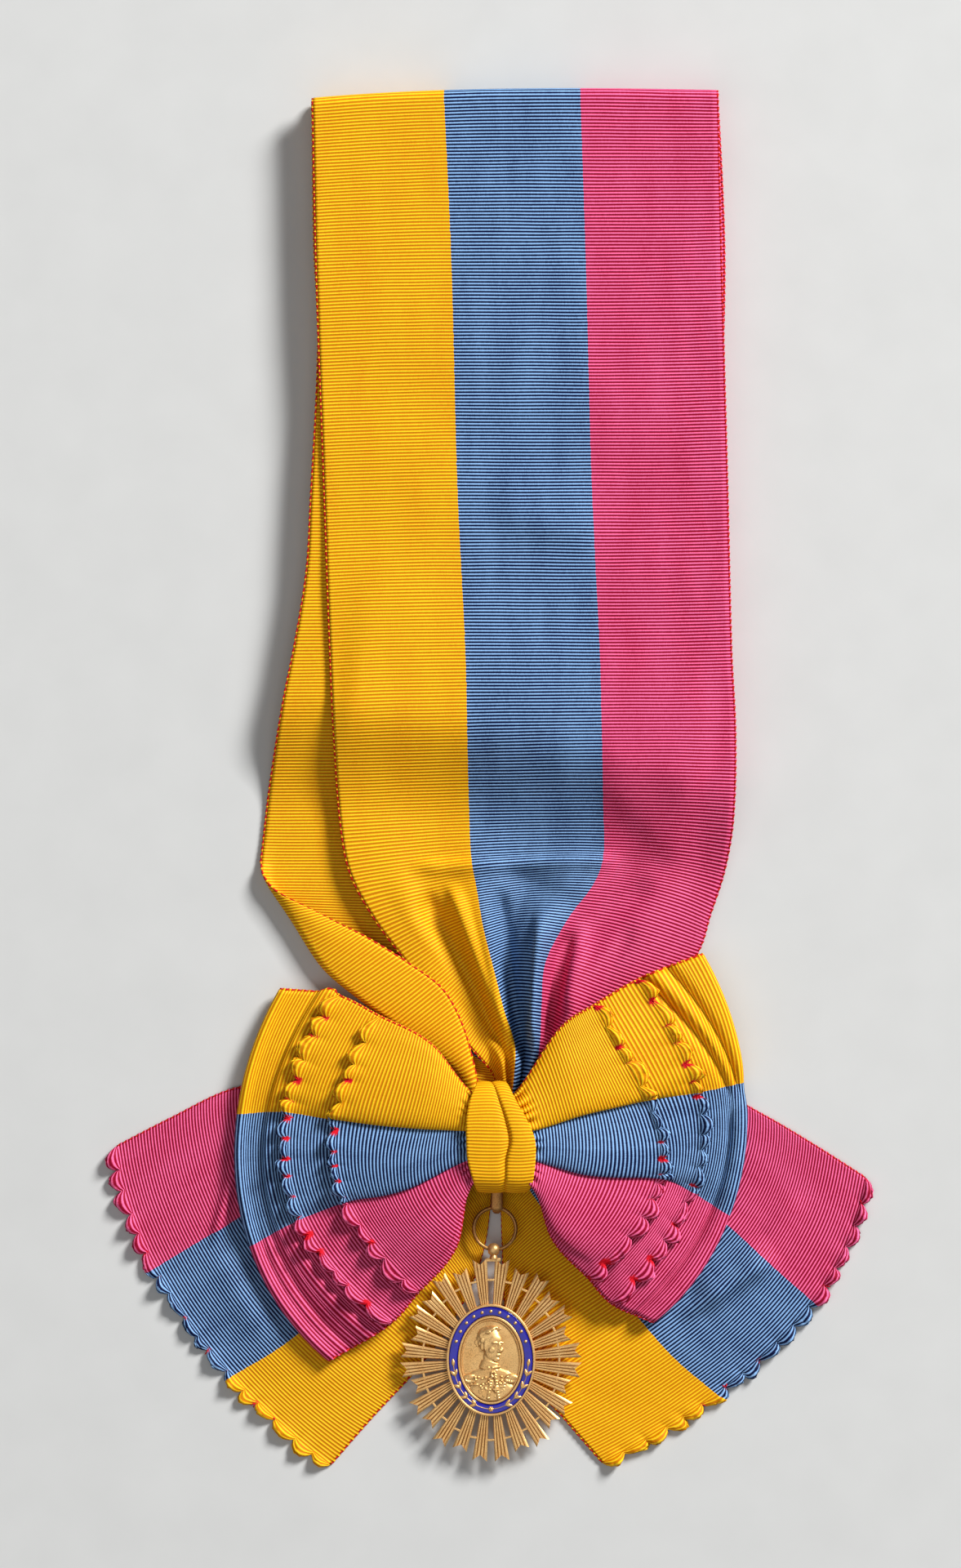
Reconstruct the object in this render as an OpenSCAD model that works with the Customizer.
// Badge of an order on its folded sash: a broad ribbon with a bow, two tails
// and a pierced star with an enamelled oval centre, lying flat and face up.
// X runs to the right and Y to the top of the sash; the floor is Z = 0.

/* [Ribbon] */
// Thickness of the ribbon wall
wall = 1; // [0.8:0.05:1.1]
// Distance between two ribbons that lie on each other
pitch = 1.25; // [1.2:0.01:1.3]
// How far the scallops stand out from a cut end
scallop = 1.6; // [0.5:0.1:2.2]
// Height of the gathers of the front strand above the bow
gather = 4.5; // [2:0.1:5]
// Height of the three humps of the bow
hump = 2.7; // [1:0.1:2.8]
// Height of the soft waves in the tails
wave = 1.2; // [0:0.1:1.6]

/* [Badge] */
// Half width of the star across its rays
star_rx = 22.9; // [22:0.1:24]
// Half height of the star across its rays
star_ry = 25.9; // [25:0.1:27]
// Half width of the oval centre
oval_rx = 11.3; // [10.5:0.1:12]
// Half height of the oval centre
oval_ry = 14.2; // [13.5:0.1:15]
// Thickness of the rays
ray_t = 1; // [0.8:0.1:1.2]
// Width of a ray where it leaves the oval
ray_in = 1.9; // [1.6:0.1:2.1]
// Width of a ray at its tip
ray_out = 3.4; // [3:0.1:3.6]
// Depth of the notch in the tip of a ray
notch = 1.3; // [0.5:0.1:2]

/* [Hanging] */
// Outer diameter of the round ring
ring_d = 11.6; // [11:0.1:12]
// Wire diameter of the round ring
ring_wire = 0.95; // [0.8:0.05:1.1]
// Width of the oblong loop
loop_w = 3; // [2.4:0.1:3.2]
// Wall of the oblong loop
loop_t = 0.85; // [0.7:0.05:0.9]
// Diameter of the ball eyelet
ball_d = 3.1; // [3:0.1:3.4]

/* [Hidden] */

// Ribbon colours: the middle stripe stands for the striped pieces
STRIPE = "#50709a";
YELLOW = "#e1a61f";
GOLD = "#c8995a";
ENAMEL = "#281ea8";

// Columns across a ribbon: five for each of the three stripes
COLS = 15;
STRIPE_COLS = 5;
FOLD_STEPS = 4;

// Layers of the folded stack, counted from the floor
function level(i) = wall / 2 + i * pitch;
FRONT = 7;
BACK = 6;

// Front strand, seen from above: distance from the top fold, then x and y of
// the left edge, of the two lines between the stripes and of the right edge,
// and the share of the gather height reached there
FRONT_ROWS = [
    [0, -53, 107.5, -20, 109.5, 14.5, 110, 49, 109.5, 0],
    [45, -52, 63.5, -18, 64.5, 16, 64.5, 50, 65, 0],
    [101, -50, 7.5, -16.5, 8.5, 17.5, 8.5, 51.5, 9, 0],
    [142, -48.5, -34, -14.5, -33, 19.5, -33, 52.5, -32.5, 0],
    [163, -47.5, -55, -14, -54, 20, -53.5, 53.5, -53.5, 0],
    [184, -46, -76, -13.5, -74.5, 20.5, -74, 53, -75.5, 0.02],
    [194, -43.5, -89, -13, -85, 20.5, -84, 51, -88, 0.16],
    [203, -37, -101, -11.5, -93.5, 18, -91.5, 47.5, -99, 0.5],
    [212, -28, -113, -10, -102.5, 11, -101, 43.5, -110, 0.8],
    [222, -20.5, -124.5, -7.5, -113, 5.5, -111.5, 32, -120, 1],
    [233, -15, -132.5, -5, -123.5, 4.5, -122.5, 19.5, -129, 1],
    [243, -10.5, -139.5, -2.5, -133.5, 4, -133, 11, -137, 0.9],
    [255, -9.5, -146, -3.5, -145.5, 1.5, -145.5, 7, -146, 0.62]];
// Height of the gathers across the front strand, column by column
GATHERS = [0, 0.1, 0.5, 0.2, 0.6, 1, 0.55, 0, 0.6, 1, 0.6, 0.05, 0.45, 0.75, 0.3, 0];

// Back strand down to where it turns over: distance from the top fold, then
// x and y of the left edge and of the right edge
BACK_ROWS = [
    [0, -53, 107.5, 49, 109.5],
    [37, -52.5, 70.5, 50.7, 72],
    [62, -51.5, 45.5, 50.5, 47],
    [105, -53.5, 4, 48.5, 5],
    [122, -54.5, -12.5, 47.5, -12],
    [140, -57.5, -31, 44.5, -30],
    [155, -60.5, -46, 41.5, -45],
    [177, -64, -67.5, 38, -67],
    [190, -65.5, -80, 35, -80]];
// Back strand where its left part turns over to the front: x and y of the
// edge on top, x and y of the fold, x and y of the right edge, and how far it
// has turned over in degrees
FLAP_ROWS = [
    [-65.5, -86, -65.6, -86, 33, -86.5, 30],
    [-64.8, -90.6, -65, -91, 31, -92, 100],
    [-51, -99.5, -58.5, -101, 25, -104, 180],
    [-39.5, -105.5, -51, -112.5, 18.5, -114, 180],
    [-29, -112, -42.5, -120, 12.5, -124, 180],
    [-20.5, -118.5, -33, -126.8, 7.5, -132, 180],
    [-15.5, -127.5, -24.5, -132.5, 4, -138, 180],
    [-12.5, -138, -17, -139.5, 2, -143, 180],
    [-11, -146, -13.5, -146, 0, -146.5, 180]];
FLAP_COLS = 3;
// Where the first columns lie just before they turn over
EDGE_COLS = [0, 0.6, 2.2, 3.9];
front_z = 2.2;
flap_z = 4;
curl_z = 2.6;

// Bow, seen from above: distance from the knot (left is negative), x and y of
// the top edge, of the two lines between the stripes and of the bottom edge,
// then the height of the lowest layer at the top edge and in the middle, the
// room inside the loop, and the share of the hump height
BOW_ROWS = [
    [-67, -61.5, -118.5, -72, -150, -69, -183.5, -49.5, -212.5, 2.2, 2.1, 2.6, 0.2],
    [-55, -47.5, -120, -60, -149.5, -57, -177, -34.5, -203.5, 3, 2.5, 2.3, 0.4],
    [-42.5, -37, -125, -48, -152, -45, -173, -27, -195.3, 4.5, 3.6, 1.7, 0.7],
    [-22, -23, -132.5, -28, -153.5, -29, -168.5, -17, -183.2, 6.6, 6.1, 1.3, 1],
    [-8.5, -13, -144.6, -14, -153, -14, -160.3, -13, -166.6, 8.1, 8.1, 1.25, 0.95],
    [0, -5.5, -146, -5.5, -153, -5.5, -159, -5.5, -164.4, 8.1, 8.1, 1.25, 0.9],
    [8.5, -1, -143.8, 2.5, -153, 3, -160.5, 2.4, -167.2, 8.1, 8.1, 1.25, 0.95],
    [22, 9, -129, 16, -150, 16, -165, 7.5, -181, 7.9, 6.1, 1.3, 1],
    [41, 19, -122, 32.5, -147, 35, -167, 17, -191.5, 6.8, 3.6, 1.7, 0.7],
    [51.6, 30.5, -115.5, 45, -144.5, 43, -170, 23, -198, 5.2, 2.5, 2.3, 0.4],
    [61.8, 46, -109.5, 56, -142, 52, -175.5, 33, -202.5, 3.8, 2.1, 2.6, 0.2]];
// Height across one stripe of the bow: it swells and then drops to the next
HUMP = [0, 0.5, 0.8, 0.95, 0.65];

// Tails, seen from above: share of the length from the cut end, then x and y
// of the lower edge, of the two lines between the stripes and of the upper
// edge, and the height of the pleats near the knot
RIGHT_TAIL = [
    [0, 20.5, -238.5, 49, -221, 73.5, -197.5, 87, -166.5, 0],
    [0.2, 11, -227.5, 38, -211.5, 62.5, -188, 74.5, -158.5, 0],
    [0.4, 1, -215.5, 26.5, -198.5, 51, -177.5, 61, -150.5, 0],
    [0.6, -4, -200, 15, -185.5, 36.5, -168, 47.5, -144, 0],
    [0.8, -5, -184.5, 5, -174, 19.5, -161.5, 31, -144, 0.2],
    [1, -5.6, -166, -3.9, -160.5, -1.8, -154.8, 0.9, -149, 0.7]];
LEFT_TAIL = [
    [0, -49, -239, -73.5, -216.5, -93, -189, -103, -158.5, 0],
    [0.2, -38.5, -227, -60.5, -208.5, -80.5, -181.5, -89.5, -151.5, 0],
    [0.4, -27, -214.5, -46.5, -197, -65.5, -173, -73.5, -144, 0],
    [0.6, -16.5, -200, -31, -183.5, -48.5, -166, -56, -142, 0],
    [0.8, -10, -184.5, -18, -172, -29, -158.5, -34, -143, 0.2],
    [1, -7.5, -166, -9.2, -160.5, -11.3, -154.8, -14, -149, 0.7]];

// Centre of the star and height of its back above the floor
star_x = -8.05;
star_y = -212.3;
star_z = 3.4;
RAYS = 28;
// How far each ray of a quarter falls short of the star's oval
RAY_SHORT = [0.1, 1.4, 0, 1.4, 0.3, 2.3, 0];
rim_w = 0.65;
rim_top = 5.2;
ridge_h = 0.25;
back_rx = 9;
back_ry = 12;
ball_hole = 1.75;
inner_rx = 8.4;
inner_ry = 11.2;
back_z = 1.25;
floor_z = 4.2;
play = 0.1;
ring_z = star_z + ray_t / 2;
ring_x = -7.05;
ring_y = -179;
loop_x = -6.55;

// Smooth ribbon helpers
function mix(a, b, t) = a + (b - a) * t;
function clamp01(t) = min(1, max(0, t));
function ease(t) = clamp01(t) * clamp01(t) * (3 - 2 * clamp01(t));
function tidy(p) = [for (v = p) round(v * 1000) / 1000];

// Row of a table at a place along it, on a smooth curve through the rows
function below(tab, x, i = 0) =
    (i >= len(tab) - 2 || x < tab[i + 1][0]) ? i : below(tab, x, i + 1);
function grade(tab, i) =
    let (a = max(0, i - 1), b = min(len(tab) - 1, i + 1))
    (tab[b] - tab[a]) / (tab[b][0] - tab[a][0]);
function row_at(tab, x) =
    let (i = below(tab, x),
         span = tab[i + 1][0] - tab[i][0],
         t = (x - tab[i][0]) / span,
         a = 2 * t * t * t - 3 * t * t + 1,
         b = t * t * t - 2 * t * t + t,
         c = t * t * t - t * t)
    a * tab[i] + b * span * grade(tab, i) + (1 - a) * tab[i + 1] + c * span * grade(tab, i + 1);

// Point across a row that has four points: both edges and both stripe lines
function across(row, u) =
    let (p0 = [row[1], row[2]], p1 = [row[3], row[4]],
         p2 = [row[5], row[6]], p3 = [row[7], row[8]])
    p0 * (-4.5 * (u - 1 / 3) * (u - 2 / 3) * (u - 1))
    + p1 * (13.5 * u * (u - 2 / 3) * (u - 1))
    + p2 * (-13.5 * u * (u - 1 / 3) * (u - 1))
    + p3 * (4.5 * u * (u - 1 / 3) * (u - 2 / 3));

// Wall around a grid of points: rows run along the ribbon, columns across it.
// A closed grid joins its last row to its first; teeth are scalloped ends. The
// wall is measured upright, so that layers never cut each other, but square to
// the ribbon where it turns over. Four-sided cells are split the same way on
// layers that run in opposite directions
function normal_at(g, i, j, closed) =
    let (n = len(g), m = len(g[0]),
         a = closed ? g[(i + n - 1) % n][j] : g[max(0, i - 1)][j],
         b = closed ? g[(i + 1) % n][j] : g[min(n - 1, i + 1)][j],
         c = g[i][max(0, j - 1)],
         d = g[i][min(m - 1, j + 1)],
         along = (b - a) / norm(b - a),
         k = cross(along, d - c) / norm(cross(along, d - c)))
    (abs(along[2]) < 0.6 && abs(k[2]) > 0.3) ? [0, 0, sign(k[2])] : k;
function skin(g, side, closed) =
    [for (i = [0:len(g) - 1]) for (j = [0:len(g[0]) - 1])
        tidy(g[i][j] + side * wall / 2 * normal_at(g, i, j, closed))];
TOOTH = [0.25, 0.5, 0.75];
function tooth_points(g, end, side) =
    let (i = end > 0 ? len(g) - 1 : 0, k = end > 0 ? i - 1 : 1)
    [for (j = [0:COLS - 1]) for (t = TOOTH)
        let (p = mix(g[i][j], g[i][j + 1], t),
             q = mix(g[k][j], g[k][j + 1], t),
             out = (p - q) / norm(p - q),
             nrm = mix(normal_at(g, i, j, false), normal_at(g, i, j + 1, false), t))
        tidy(p + out * scallop * sin(180 * t) + side * wall / 2 * nrm / norm(nrm))];
module ribbon(g, closed = false, teeth = [false, false]) {
    n = len(g);
    m = len(g[0]);
    size = n * m;
    comb = COLS * len(TOOTH);
    points = concat(skin(g, 1, closed), skin(g, -1, closed),
        teeth[0] ? concat(tooth_points(g, -1, 1), tooth_points(g, -1, -1)) : [],
        teeth[1] ? concat(tooth_points(g, 1, 1), tooth_points(g, 1, -1)) : []);
    last = closed ? n - 1 : n - 2;
    top = [for (i = [0:last])
        let (step = g[(i + 1) % n][floor(m / 2)] - g[i][floor(m / 2)],
             onward = (abs(step[1]) > abs(step[0]) ? step[1] : step[0]) > 0)
        for (j = [0:m - 2])
            let (a = i * m + j, b = ((i + 1) % n) * m + j)
            each (onward ? [[a, a + 1, b + 1], [a, b + 1, b]]
                : [[a, a + 1, b], [b, a + 1, b + 1]])];
    bottom = [for (f = top) [f[2] + size, f[1] + size, f[0] + size]];
    edges = [for (i = [0:last])
        let (a = i * m, b = ((i + 1) % n) * m, c = a + m - 1, d = b + m - 1)
        each [[a, b, b + size], [a, b + size, a + size],
              [c, c + size, d + size], [c, d + size, d]]];
    start = closed ? [] : teeth[0] ? comb_faces(0, 2 * size, comb, size, true)
        : plain_faces(0, size, true);
    finish_at = 2 * size + (teeth[0] ? 2 * comb : 0);
    finish = closed ? [] : teeth[1] ? comb_faces((n - 1) * m, finish_at, comb, size, false)
        : plain_faces((n - 1) * m, size, false);
    polyhedron(points = points, faces = concat(top, bottom, edges, start, finish), convexity = 10);
}
function turned(faces, turn) = turn ? [for (f = faces) [f[2], f[1], f[0]]] : faces;
function plain_faces(first, size, turn) = turned(
    [for (j = [0:COLS - 1])
        let (a = first + j)
        each [[a, a + 1, a + 1 + size], [a, a + 1 + size, a + size]]], turn);
function comb_faces(first, comb_at, comb, size, turn) = turned(
    [for (j = [0:COLS - 1])
        let (a = first + j, b = a + 1, c = comb_at + j * len(TOOTH))
        each concat(
            [[a, b, c + 2], [a, c + 2, c + 1], [a, c + 1, c]],
            [[a + size, c + 2 + comb, b + size], [a + size, c + 1 + comb, c + 2 + comb],
             [a + size, c + comb, c + 1 + comb]],
            comb_side(a, c, size, comb),
            comb_side(c, c + 1, comb, comb),
            comb_side(c + 1, c + 2, comb, comb),
            comb_side(c + 2, b, comb, size))], turn);
function comb_side(p, q, drop_p, drop_q) = [[p, q, q + drop_q], [p, q + drop_q, p + drop_p]];

// Folded stack of the sash
fold_r = (level(FRONT) - level(4)) / 2 + wall / 2;
function stack_end(x) = -44 - 22 * pow(clamp01((x + 50) / 102), 1.6);
function stack_drop(p, i, low) = mix(level(i), low, ease((stack_end(p[0]) - p[1]) / 30));
TOP_AXIS = [for (j = [0:COLS]) across(FRONT_ROWS[0], j / COLS) - [0, fold_r]];
HIDDEN_TOP = [for (j = [0:COLS]) [mix(-52.6, 48.6, j / COLS), TOP_AXIS[j][1]]];
BACK_TOP = [for (j = [0:COLS])
    [mix(BACK_ROWS[0][1], BACK_ROWS[0][3], j / COLS), TOP_AXIS[j][1]]];
HIDDEN_END = [for (j = [0:COLS])
    let (x = mix(-48, 52.6, j / COLS)) [x, stack_end(x) + fold_r]];
function at_level(row, i) = [for (p = row) [p[0], p[1], level(i)]];
function fold(row, i, k, way) =
    let (r = abs(level(k) - level(i)) / 2, mid = (level(i) + level(k)) / 2,
         up = k > i ? 1 : -1)
    [for (s = [1:FOLD_STEPS - 1])
        let (a = -90 + 180 * s / FOLD_STEPS)
        [for (p = row) [p[0], p[1] + way * r * cos(a), mid + up * r * sin(a)]]];
FRONT_AT = [fold_r, 45, 101, 140, 150, 156, 162, 168, 174, 180, 186, 192, 197.5, 203, 208,
            212.5, 217, 222, 227.5, 233, 238, 243, 249, 255];
function front_row(at) =
    let (row = row_at(FRONT_ROWS, at))
    [for (j = [0:COLS])
        let (p = across(row, j / COLS))
        [p[0], p[1], stack_drop(p, FRONT, front_z) + gather * row[9] * GATHERS[j]]];
BACK_AT = [37, 62, 105, 122, 140, 149, 155, 161, 167, 173, 179, 185, 191];
function back_row(at) =
    let (row = row_at(BACK_ROWS, at),
         left = [row[1], row[2]], right = [row[3], row[4]],
         width = norm(right - left),
         crowd = ease((at - 140) / 50))
    [for (j = [0:COLS])
        let (near = j <= FLAP_COLS ? EDGE_COLS[j] / width
                 : mix(EDGE_COLS[FLAP_COLS] / width, 1, (j - FLAP_COLS) / (COLS - FLAP_COLS)),
             p = mix(left, right, mix(j / COLS, near, crowd)))
        [p[0], p[1], stack_drop(p, BACK, level(0))]];
function flap_row(row) =
    let (edge = [row[0], row[1]], crease = [row[2], row[3]], far = [row[4], row[5]],
         turn = row[6],
         inward = (far - crease) / norm(far - crease),
         width = norm(edge - crease),
         half = (min(flap_z, curl_z + width / 5) - level(0)) / 2,
         bend = half * 180 / turn,
         start = crease + inward * bend * sin(min(turn, 90)),
         lip = max(width - half, 0.6),
         on_curl = [for (a = [turn, turn / 2, 0])
             [start[0] - inward[0] * bend * sin(a), start[1] - inward[1] * bend * sin(a),
              level(0) + bend * (1 - cos(a))]],
         end = on_curl[0] - lip * cos(turn) * [inward[0], inward[1], 0]
             + [0, 0, lip * sin(turn)])
    [for (j = [0:COLS])
        j == 0 ? (turn < 180 ? end : [edge[0], edge[1], level(0) + 2 * half])
        : j <= FLAP_COLS ? on_curl[j - 1]
        : let (p = mix(start, far, (j - FLAP_COLS) / (COLS - FLAP_COLS)))
            [p[0], p[1], level(0)]];
FLAP_FINE = [for (i = [0:0.5:len(FLAP_ROWS) - 1])
    flap_row((FLAP_ROWS[floor(i)] + FLAP_ROWS[ceil(i)]) / 2)];
SASH = concat(
    [for (i = [len(FRONT_AT) - 1:-1:0]) front_row(FRONT_AT[i])],
    fold([for (p = front_row(fold_r)) [p[0], p[1]]], FRONT, 4, 1),
    [at_level(HIDDEN_TOP, 4), at_level(HIDDEN_END, 4)],
    fold(HIDDEN_END, 4, 3, -1),
    [at_level(HIDDEN_END, 3), at_level(HIDDEN_TOP, 3)],
    fold(HIDDEN_TOP, 3, 0, 1),
    [at_level(HIDDEN_TOP, 0), at_level(HIDDEN_END, 0)],
    fold(HIDDEN_END, 0, 1, -1),
    [at_level(HIDDEN_END, 1), at_level(HIDDEN_TOP, 1)],
    fold(HIDDEN_TOP, 1, 2, 1),
    [at_level(HIDDEN_TOP, 2), at_level(HIDDEN_END, 2)],
    fold(HIDDEN_END, 2, 5, -1),
    [at_level(HIDDEN_END, 5), at_level(HIDDEN_TOP, 5)],
    fold(BACK_TOP, 5, BACK, 1),
    [at_level(BACK_TOP, BACK)],
    [for (at = BACK_AT) back_row(at)],
    FLAP_FINE);
module sash_ribbon() {
    color(STRIPE) ribbon(SASH);
}

// Tails: one ribbon each, pleated near the knot and softly waved beyond
TAIL_AT = [for (s = [0:10]) s / 10];
function tail_grid(tab) =
    [for (at = TAIL_AT)
        let (row = row_at(tab, at))
        [for (j = [0:COLS])
            let (u = j / COLS, p = across(row, u),
                 pleat = row[9] * (1 - cos(360 * 3 * u)) / 2,
                 swell = wave * sin(180 * u) * sin(180 * u) * sin(180 * clamp01(at / 0.5)) * 0.5
                     * (1 - cos(360 * (u + at))))
            [p[0], p[1], level(0) + pleat + swell]]];
module tail_left() {
    color(STRIPE) ribbon(tail_grid(LEFT_TAIL), teeth = [true, false]);
}
module tail_right() {
    color(STRIPE) ribbon(tail_grid(RIGHT_TAIL), teeth = [true, false]);
}

// Bow: every layer follows the same fan, one above the other
function bow_point(at, j, layer) =
    let (row = row_at(BOW_ROWS, at), u = j / COLS, p = across(row, u),
         base = mix(row[9], row[10], ease(u * 2)),
         rise = hump * row[12] * HUMP[j % STRIPE_COLS] * (j < COLS ? 1 : 0))
    [p[0], p[1], base + rise + (layer > 0 ? row[11] + (layer - 1) * pitch : 0)];
function bow_row(at, layer) = [for (j = [0:COLS]) bow_point(at, j, layer)];
function loop_end(at, way) =
    let (low = bow_row(at, 0), high = bow_row(at, 1), inner = bow_row(at - way, 0))
    [for (s = [1:FOLD_STEPS - 1])
        let (a = -90 + 180 * s / FOLD_STEPS)
        [for (j = [0:COLS])
            let (r = (high[j][2] - low[j][2]) / 2,
                 out = [low[j][0] - inner[j][0], low[j][1] - inner[j][1], 0])
            [low[j][0], low[j][1], (low[j][2] + high[j][2]) / 2 + r * sin(way * a)]
                + r * cos(a) * out / norm(out)]];
STATIONS = [-66, -60, -53.6, -47, -41.2, -32, -22, -15, -8.5, 0,
            8.5, 15, 22, 32, 39.8, 45, 50.4, 56, 60.8];
LONG_PART = [2:16];
SHORT_PART = [4:14];
BOW_LOOP = concat(
    [for (at = STATIONS) bow_row(at, 0)],
    loop_end(60.8, 1),
    [for (i = [len(STATIONS) - 1:-1:0]) bow_row(STATIONS[i], 1)],
    loop_end(-66, -1));
module bow_loops() {
    color(STRIPE) ribbon(BOW_LOOP, closed = true);
}
module bow_strip_long() {
    color(STRIPE) ribbon([for (i = LONG_PART) bow_row(STATIONS[i], 2)], teeth = [true, true]);
}
module bow_strip_short() {
    color(STRIPE) ribbon([for (i = SHORT_PART) bow_row(STATIONS[i], 3)], teeth = [true, true]);
}

// Knot band round the middle of the bow: path in Y and Z, with the x of its
// left edge, of its crease and of its right edge, and the depth of the crease
KNOT_ROWS = [
    [-142.3, 8.6, -11.6, -7.5, -4.2, 0],
    [-142, 11, -11.6, -7.5, -4.2, 0.2],
    [-143, 13.4, -12, -6.5, -3.4, 0.4],
    [-146.2, 15.4, -13.4, -5, -1.8, 0.7],
    [-151, 16.3, -14.3, -3.3, 1, 0.7],
    [-156, 16.5, -14.3, -2.2, 3, 0.7],
    [-161, 16.3, -14, -3.3, 3.2, 0.7],
    [-166.2, 15.7, -12.6, -3.8, 2.6, 0.4],
    [-168.8, 12.8, -11.6, -4, 1.6, 0.2],
    [-169.1, 9.6, -11.2, -4, 0.8, 0],
    [-168.2, 7.2, -11.2, -4, 0.6, 0],
    [-164, 6.6, -11.4, -4, 0.4, 0],
    [-156, 6.6, -11.6, -5.5, 0, 0],
    [-147, 6.6, -11.6, -6, -2, 0],
    [-143.2, 7, -11.6, -7, -3.8, 0]];
KNOT_COLS = 8;
CREASE_COL = 5;
function knot_row(row) =
    [for (j = [0:KNOT_COLS])
        let (x = j <= CREASE_COL ? mix(row[2], row[3], j / CREASE_COL)
                 : mix(row[3], row[4], (j - CREASE_COL) / (KNOT_COLS - CREASE_COL)),
             dip = j == CREASE_COL ? row[5] : 0,
             edge = (row[5] > 0 && (j == 0 || j == KNOT_COLS)) ? 0.35 : 0,
             mid = [-155.5, 11.5],
             out = [row[0], row[1]] - mid,
             p = [row[0], row[1]] - (dip + edge) * out / norm(out))
        [x, p[0], p[1]]];
module knot_band() {
    color(YELLOW) ribbon([for (row = KNOT_ROWS) knot_row(row)], closed = true);
}

// Oblong loop and the hidden pin it hangs on
loop_top = -160.4;
loop_low = -175.3;
loop_half = 1.95;
tip_w = 1.7;
module stadium(r, w) {
    rotate([0, 90, 0]) linear_extrude(w, center = true) {
        translate([0, loop_low + loop_half]) circle(r, $fn = 48);
        translate([0, loop_top - loop_half]) circle(r, $fn = 48);
        translate([-r, loop_low + loop_half]) square([2 * r, loop_top - loop_low - 2 * loop_half]);
    }
}
module hanging_loop() {
    taper = loop_low + loop_half + 0.6;
    color(GOLD) translate([loop_x, 0, ring_z]) intersection() {
        difference() {
            stadium(loop_half, loop_w);
            stadium(loop_half - loop_t, loop_w + 1);
        }
        linear_extrude(3 * loop_half, center = true) polygon([
            [-loop_w / 2, loop_top], [-loop_w / 2, taper], [-tip_w / 2, loop_low],
            [tip_w / 2, loop_low], [loop_w / 2, taper], [loop_w / 2, loop_top]]);
    }
}
pin_d = 1.4;
pin_l = 12;
module hanging_pin() {
    color(GOLD) translate([loop_x, loop_top - loop_t - play - pin_d / 2, ring_z])
        rotate([0, 90, 0]) cylinder(d = pin_d, h = pin_l, center = true, $fn = 32);
}
module suspension_ring() {
    color(GOLD) translate([ring_x, ring_y, ring_z]) rotate_extrude($fn = 64)
        translate([(ring_d - ring_wire) / 2, 0]) circle(d = ring_wire, $fn = 24);
}

// Star: everything is drawn about its centre
function oval(rx, ry) = [for (a = [0:7.5:359]) [rx * cos(a), ry * sin(a)]];
module oval_ring(rx, ry, w) {
    difference() {
        polygon(oval(rx, ry));
        polygon(oval(rx - w, ry - w));
    }
}
function ray_turn(i) = 360 * (i + 0.5) / RAYS;
function ray_quarter(i) = let (k = i % 14) k < 7 ? k : 13 - k;
function oval_reach(rx, ry, a) = 1 / sqrt(pow(sin(a) / rx, 2) + pow(cos(a) / ry, 2));
function ray_reach(i) =
    oval_reach(star_rx, star_ry, ray_turn(i)) - RAY_SHORT[ray_quarter(i)];
module ray(i) {
    root = oval_reach(oval_rx, oval_ry, ray_turn(i)) - rim_w / 2;
    tip = ray_reach(i);
    rotate(-ray_turn(i)) polygon([
        [-ray_in / 2, root], [-ray_out / 2, tip], [0, tip - notch],
        [ray_out / 2, tip], [ray_in / 2, root]]);
}
module ray_ridge(i) {
    root = oval_reach(oval_rx, oval_ry, ray_turn(i)) + 0.15;
    tip = ray_reach(i) - 0.7;
    for (s = [-1, 1]) rotate(-ray_turn(i)) polygon([
        [s * 0.18 * ray_in - 0.2, root], [s * 0.25 * ray_out - 0.25, tip],
        [s * 0.25 * ray_out + 0.25, tip], [s * 0.18 * ray_in + 0.2, root]]);
}
bar_w = 0.5;
module joining_bar(i) {
    a = 360 * i / RAYS;
    reach = mix(oval_reach(oval_rx, oval_ry, a), oval_reach(star_rx, star_ry, a), 0.52);
    rotate(-a) translate([0, reach]) square([2.6, bar_w], center = true);
}
// Leaves of the two laurel sprigs, the rosette and the studs on the band
band_rx = (oval_rx + inner_rx) / 2 - rim_w / 2;
band_ry = (oval_ry + inner_ry) / 2 - rim_w / 2;
function band_point(a) = [band_rx * sin(a), -band_ry * cos(a)];
LEAF_AT = [24, 40, 56, 72];
LEAF_END = 84;
STUDS = 11;
module leaf(grow) {
    polygon([for (a = [0:45:315]) [(1 + grow) * sin(a) * 0.95, (0.36 + grow) * cos(a)]]);
}
module sprigs(grow) {
    for (side = [-1, 1]) {
        for (a = LEAF_AT) for (lean = [-32, 32])
            translate([side * band_point(a)[0], band_point(a)[1]])
                rotate(side > 0 ? a + lean : 180 - a - lean) translate([0.62, 0]) leaf(grow);
        translate([side * band_point(LEAF_END)[0], band_point(LEAF_END)[1]])
            rotate(side > 0 ? LEAF_END : 180 - LEAF_END) leaf(grow);
    }
    translate(band_point(0)) circle(0.62 + grow, $fn = 20);
    for (i = [0:STUDS - 1])
        let (a = 180 + 13.5 * (i - (STUDS - 1) / 2))
        translate(band_point(a)) circle(0.42 + grow, $fn = 20);
}
module raised(from, to) {
    translate([star_x, star_y, from]) linear_extrude(to - from) union() children();
}
module ball_eyelet() {
    translate([ring_x - 0.3, ring_y - (ring_d - ring_wire) / 2, ring_z]) rotate([0, 90, 0])
        rotate_extrude($fn = 48) intersection() {
            circle(d = ball_d, $fn = 48);
            translate([ball_hole / 2, -ball_d]) square([ball_d, 2 * ball_d]);
        }
}
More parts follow.
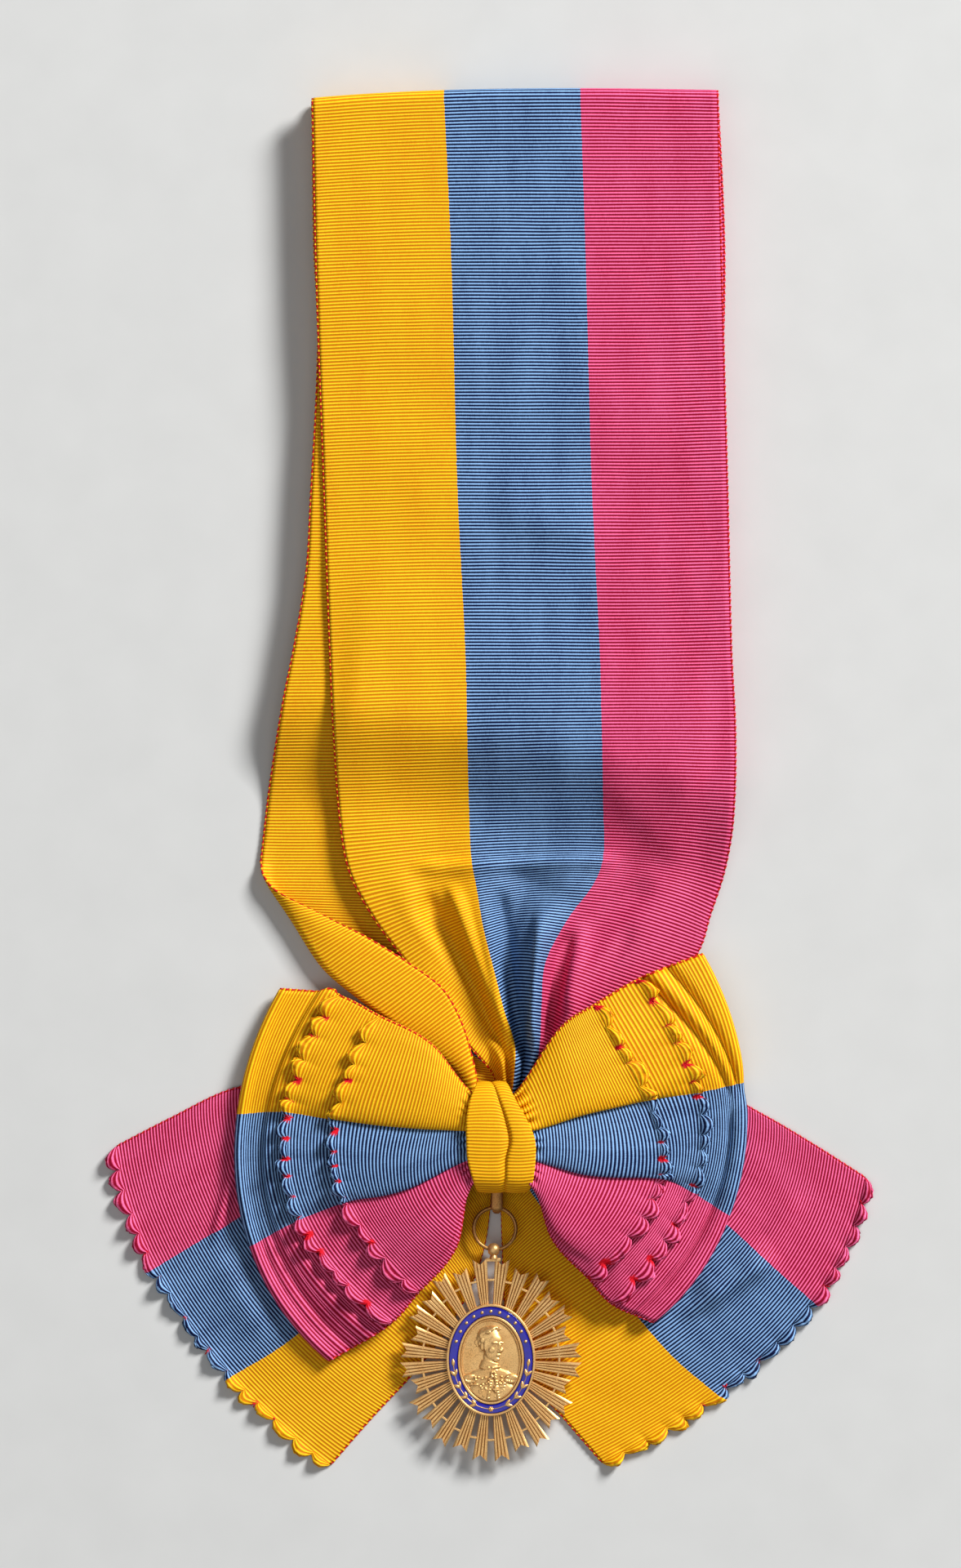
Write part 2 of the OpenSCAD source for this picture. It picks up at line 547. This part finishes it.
module badge_star() {
    color(GOLD) union() {
        for (i = [0:RAYS - 1]) raised(star_z, star_z + ray_t) ray(i);
        for (i = [0:RAYS - 1]) raised(star_z + 0.1, star_z + ray_t - 0.1) joining_bar(i);
        for (i = [0:RAYS - 1]) raised(star_z + ray_t / 2, star_z + ray_t + ridge_h) ray_ridge(i);
        raised(star_z - 0.1, rim_top) oval_ring(oval_rx, oval_ry, rim_w);
        raised(star_z + 0.1, rim_top) oval_ring(inner_rx, inner_ry, rim_w);
        raised(star_z, floor_z) polygon(oval(oval_rx - rim_w / 2, oval_ry - rim_w / 2));
        raised(back_z, star_z + 0.2) polygon(oval(back_rx, back_ry));
        raised(floor_z - 0.2, rim_top - 0.05) sprigs(0);
        ball_eyelet();
        translate([star_x + 0.35, star_y + star_ry - 0.2, ring_z])
            cube([3, 2, ray_t / 2], center = true);
    }
}
module enamel_band() {
    color(ENAMEL) raised(floor_z + play, rim_top - 0.15) difference() {
        oval_ring(oval_rx - rim_w - play, oval_ry - rim_w - play,
            oval_rx - inner_rx - rim_w - 2 * play);
        sprigs(play);
    }
}

// Medallion with a raised bust turned half to the right
med_rx = inner_rx - rim_w - play;
med_ry = inner_ry - rim_w - play;
field_z = 0.7;
module cap(x, y, r, sunk) {
    translate([x, y, field_z - sunk]) sphere(r, $fn = 40);
}
module medallion() {
    color(GOLD) translate([star_x, star_y, floor_z + play]) intersection() {
        union() {
            linear_extrude(field_z) polygon(oval(med_rx, med_ry));
            cap(-0.2, 4, 2.5, 1.2);
            cap(0.15, 3.3, 2.1, 0.8);
            translate([-0.1, 0.2, field_z - 0.3]) rotate([-90, 0, 0])
                cylinder(r1 = 1.75, r2 = 1.35, h = 2.6, $fn = 32);
            cap(0, -4.2, 5.2, 4);
            cap(-3.3, -2.6, 1.7, 0.9);
            cap(3.3, -2.6, 1.7, 0.9);
        }
        linear_extrude(4) polygon(oval(med_rx, med_ry));
    }
}

sash_ribbon();
tail_left();
tail_right();
bow_loops();
bow_strip_long();
bow_strip_short();
knot_band();
hanging_loop();
hanging_pin();
suspension_ring();
badge_star();
enamel_band();
medallion();
